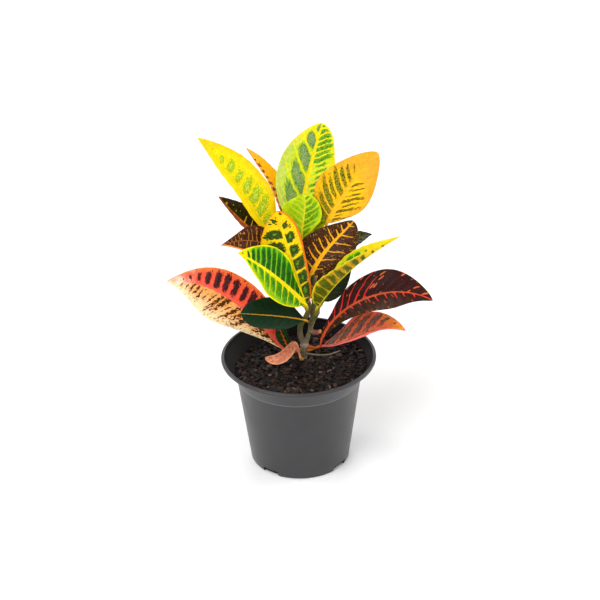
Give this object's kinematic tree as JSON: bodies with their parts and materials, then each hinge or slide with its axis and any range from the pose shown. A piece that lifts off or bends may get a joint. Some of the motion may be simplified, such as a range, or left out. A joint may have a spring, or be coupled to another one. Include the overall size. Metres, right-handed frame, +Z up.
{
  "type": "potted croton",
  "caption": "Croton house plant with broad, boldly veined leaves in yellow, green, coral and maroon, growing in soil in a dark grey nursery pot.",
  "frame": {"origin": "middle of the pot's flat underside, on the plane it stands on", "axes": "+Z up along the pot's axis, +X to the plant's right as seen from the front, -Y to the front"},
  "size_m": [0.2933, 0.2161, 0.3713],
  "materials": {
    "pot_plastic": "moulded, satin",
    "potting_soil": "loose bark and peat",
    "stem_bark": "young green-grey bark",
    "leaf_yellow": "glossy cuticle",
    "leaf_gold": "glossy cuticle",
    "leaf_green": "glossy cuticle",
    "leaf_dark": "glossy cuticle",
    "leaf_coral": "glossy cuticle"
  },
  "bodies": {
    "root": {"pot": "pot_plastic", "soil": "potting_soil", "stem": "stem_bark", "leaf_crown_tall": "leaf_yellow", "leaf_crown_young": "leaf_green", "leaf_upper_left_long": "leaf_yellow", "leaf_upper_right_gold": "leaf_gold", "leaf_front_gold_spotted": "leaf_gold", "leaf_front_green_striped": "leaf_green", "leaf_right_maroon": "leaf_dark", "leaf_right_folded": "leaf_yellow", "leaf_right_dark_behind": "leaf_dark", "leaf_right_dark_tip": "leaf_dark", "leaf_back_left_orange": "leaf_gold", "leaf_left_dark_green": "leaf_dark", "leaf_left_maroon": "leaf_dark", "leaf_low_left_coral": "leaf_coral", "leaf_low_left_green": "leaf_dark", "leaf_right_big_dark": "leaf_dark", "leaf_low_right_pink": "leaf_coral", "leaf_low_small_dark": "leaf_dark", "leaf_low_withered": "leaf_coral", "leaf_back_high": "leaf_yellow", "leaf_back_left_mid": "leaf_gold", "leaf_back_right_mid": "leaf_green", "leaf_back_low": "leaf_dark", "leaf_back_low_left": "leaf_dark", "leaf_back_low_right": "leaf_coral"}
  },
  "joints": []
}
